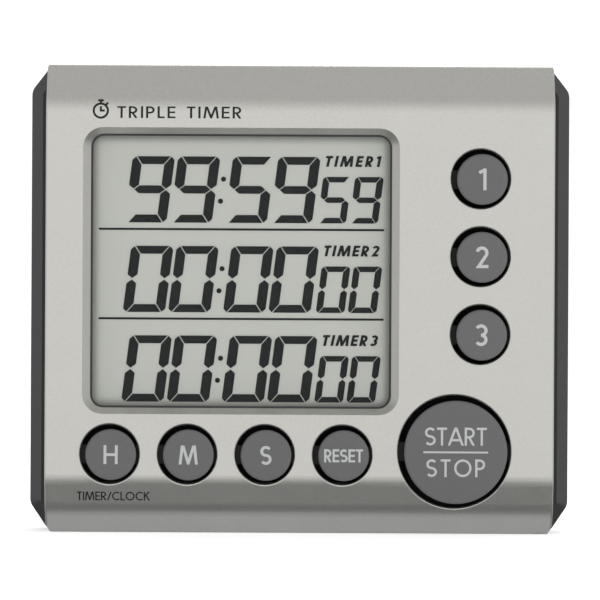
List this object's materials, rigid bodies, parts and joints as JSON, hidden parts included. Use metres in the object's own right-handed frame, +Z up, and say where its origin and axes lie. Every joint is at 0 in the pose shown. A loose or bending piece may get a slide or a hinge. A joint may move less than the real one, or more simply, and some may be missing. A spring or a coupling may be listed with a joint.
{
  "type": "digital lab timer",
  "caption": "Bench timer with a segmented LCD, round keys and a large start/stop key, silver front cover, dark rear case, sliding battery cover and flip-out stand.",
  "frame": {"origin": "middle of the footprint, on the surface that the timer stands on, at half its depth", "axes": "+X to the user's right, +Y towards the rear, +Z up; the display faces -Y"},
  "size_m": [0.115, 0.027, 0.1],
  "materials": {
    "cover_silver": "fine metallic silver paint on moulded ABS",
    "case_dark": "charcoal ABS, finely grained",
    "window_clear": "clear acrylic sheet, glossy",
    "gasket_black": "black foam tape",
    "polarizer_film": "neutral tinted film",
    "lcd_glass": "thin display glass",
    "reflector_film": "grey-green reflective film",
    "frame_white": "white ABS",
    "zebra_rubber": "layered conductive rubber",
    "key_grey": "mid-grey satin coating, printed legend",
    "carbon_pill": "conductive rubber",
    "mat_black": "black silicone rubber",
    "carbon_ink": "printed carbon",
    "board_green": "green solder mask on glass epoxy",
    "screw_zinc": "zinc-plated steel",
    "epoxy_black": "black epoxy",
    "nickel": "nickel-plated steel",
    "ferrite": "ferrite bobbin",
    "capacitor_sleeve": "sleeved aluminium can",
    "chip_black": "thick-film resistors",
    "chip_tan": "ceramic capacitors",
    "cell_wrap": "plain wrapped AAA cell, average density",
    "magnet_nickel": "nickel-plated magnet",
    "piezo_brass": "brass disc",
    "piezo_ceramic": "silvered ceramic",
    "foam_grey": "foam tape",
    "wire_red": "PVC insulation",
    "wire_black": "PVC insulation"
  },
  "bodies": {
    "root": {"battery_1": "cell_wrap", "battery_2": "cell_wrap", "battery_link_plate": "nickel", "battery_minus_plate": "nickel", "battery_plus_plate": "nickel", "battery_spring_1": "nickel", "battery_spring_2": "nickel", "battery_wire_minus": "wire_black", "battery_wire_plus": "wire_red", "board_screws": "screw_zinc", "boost_coil": "ferrite", "case_screws": "screw_zinc", "chip_capacitors": "chip_tan", "chip_resistors": "chip_black", "circuit_board": "board_green", "controller_blob": "epoxy_black", "drive_transistor": "epoxy_black", "electrolytic_capacitor": "capacitor_sleeve", "front_cover": "cover_silver", "key_contacts": "carbon_ink", "keypad_mat": "mat_black", "lcd_frame": "frame_white", "lcd_front_glass": "lcd_glass", "lcd_front_polarizer": "polarizer_film", "lcd_rear_glass": "lcd_glass", "lcd_reflector": "reflector_film", "magnet_left": "magnet_nickel", "magnet_right": "magnet_nickel", "piezo_ceramic": "piezo_ceramic", "piezo_disc": "piezo_brass", "piezo_foam_ring": "foam_grey", "piezo_wire_1": "wire_red", "piezo_wire_2": "wire_black", "quartz_crystal": "nickel", "rear_case": "case_dark", "window_gasket": "gasket_black", "window_lens": "window_clear", "zebra_strip_bottom": "zebra_rubber", "zebra_strip_top": "zebra_rubber"},
    "key_h_body": {"key_h": "key_grey", "pill_h": "carbon_pill"},
    "key_m_body": {"key_m": "key_grey", "pill_m": "carbon_pill"},
    "key_s_body": {"key_s": "key_grey", "pill_s": "carbon_pill"},
    "key_reset_body": {"key_reset": "key_grey", "pill_reset": "carbon_pill"},
    "key_1_body": {"key_1": "key_grey", "pill_1": "carbon_pill"},
    "key_2_body": {"key_2": "key_grey", "pill_2": "carbon_pill"},
    "key_3_body": {"key_3": "key_grey", "pill_3": "carbon_pill"},
    "key_start_stop_body": {"key_start_stop": "key_grey", "pill_start_stop": "carbon_pill"},
    "stand_body": {"stand": "case_dark"},
    "battery_cover_body": {"battery_cover": "case_dark"}
  },
  "joints": [
    {"name": "key_h_press", "type": "slide", "parent": "root", "child": "key_h_body", "axis": [0, 1, 0], "range_m": [0, 0.001], "stiffness_N_per_m": 1000},
    {"name": "key_m_press", "type": "slide", "parent": "root", "child": "key_m_body", "axis": [0, 1, 0], "range_m": [0, 0.001], "stiffness_N_per_m": 1000},
    {"name": "key_s_press", "type": "slide", "parent": "root", "child": "key_s_body", "axis": [0, 1, 0], "range_m": [0, 0.001], "stiffness_N_per_m": 1000},
    {"name": "key_reset_press", "type": "slide", "parent": "root", "child": "key_reset_body", "axis": [0, 1, 0], "range_m": [0, 0.001], "stiffness_N_per_m": 1000},
    {"name": "key_1_press", "type": "slide", "parent": "root", "child": "key_1_body", "axis": [0, 1, 0], "range_m": [0, 0.001], "stiffness_N_per_m": 1000},
    {"name": "key_2_press", "type": "slide", "parent": "root", "child": "key_2_body", "axis": [0, 1, 0], "range_m": [0, 0.001], "stiffness_N_per_m": 1000},
    {"name": "key_3_press", "type": "slide", "parent": "root", "child": "key_3_body", "axis": [0, 1, 0], "range_m": [0, 0.001], "stiffness_N_per_m": 1000},
    {"name": "key_start_stop_press", "type": "slide", "parent": "root", "child": "key_start_stop_body", "axis": [0, 1, 0], "range_m": [0, 0.001], "stiffness_N_per_m": 1500},
    {"name": "stand_hinge", "type": "hinge", "parent": "root", "child": "stand_body", "pos_m": [0, 0.0119, 0.058], "axis": [1, 0, 0], "range_deg": [0, 42]},
    {"name": "battery_cover_slide", "type": "slide", "parent": "root", "child": "battery_cover_body", "axis": [0, 0, -1], "range_m": [0, 0.058]}
  ]
}
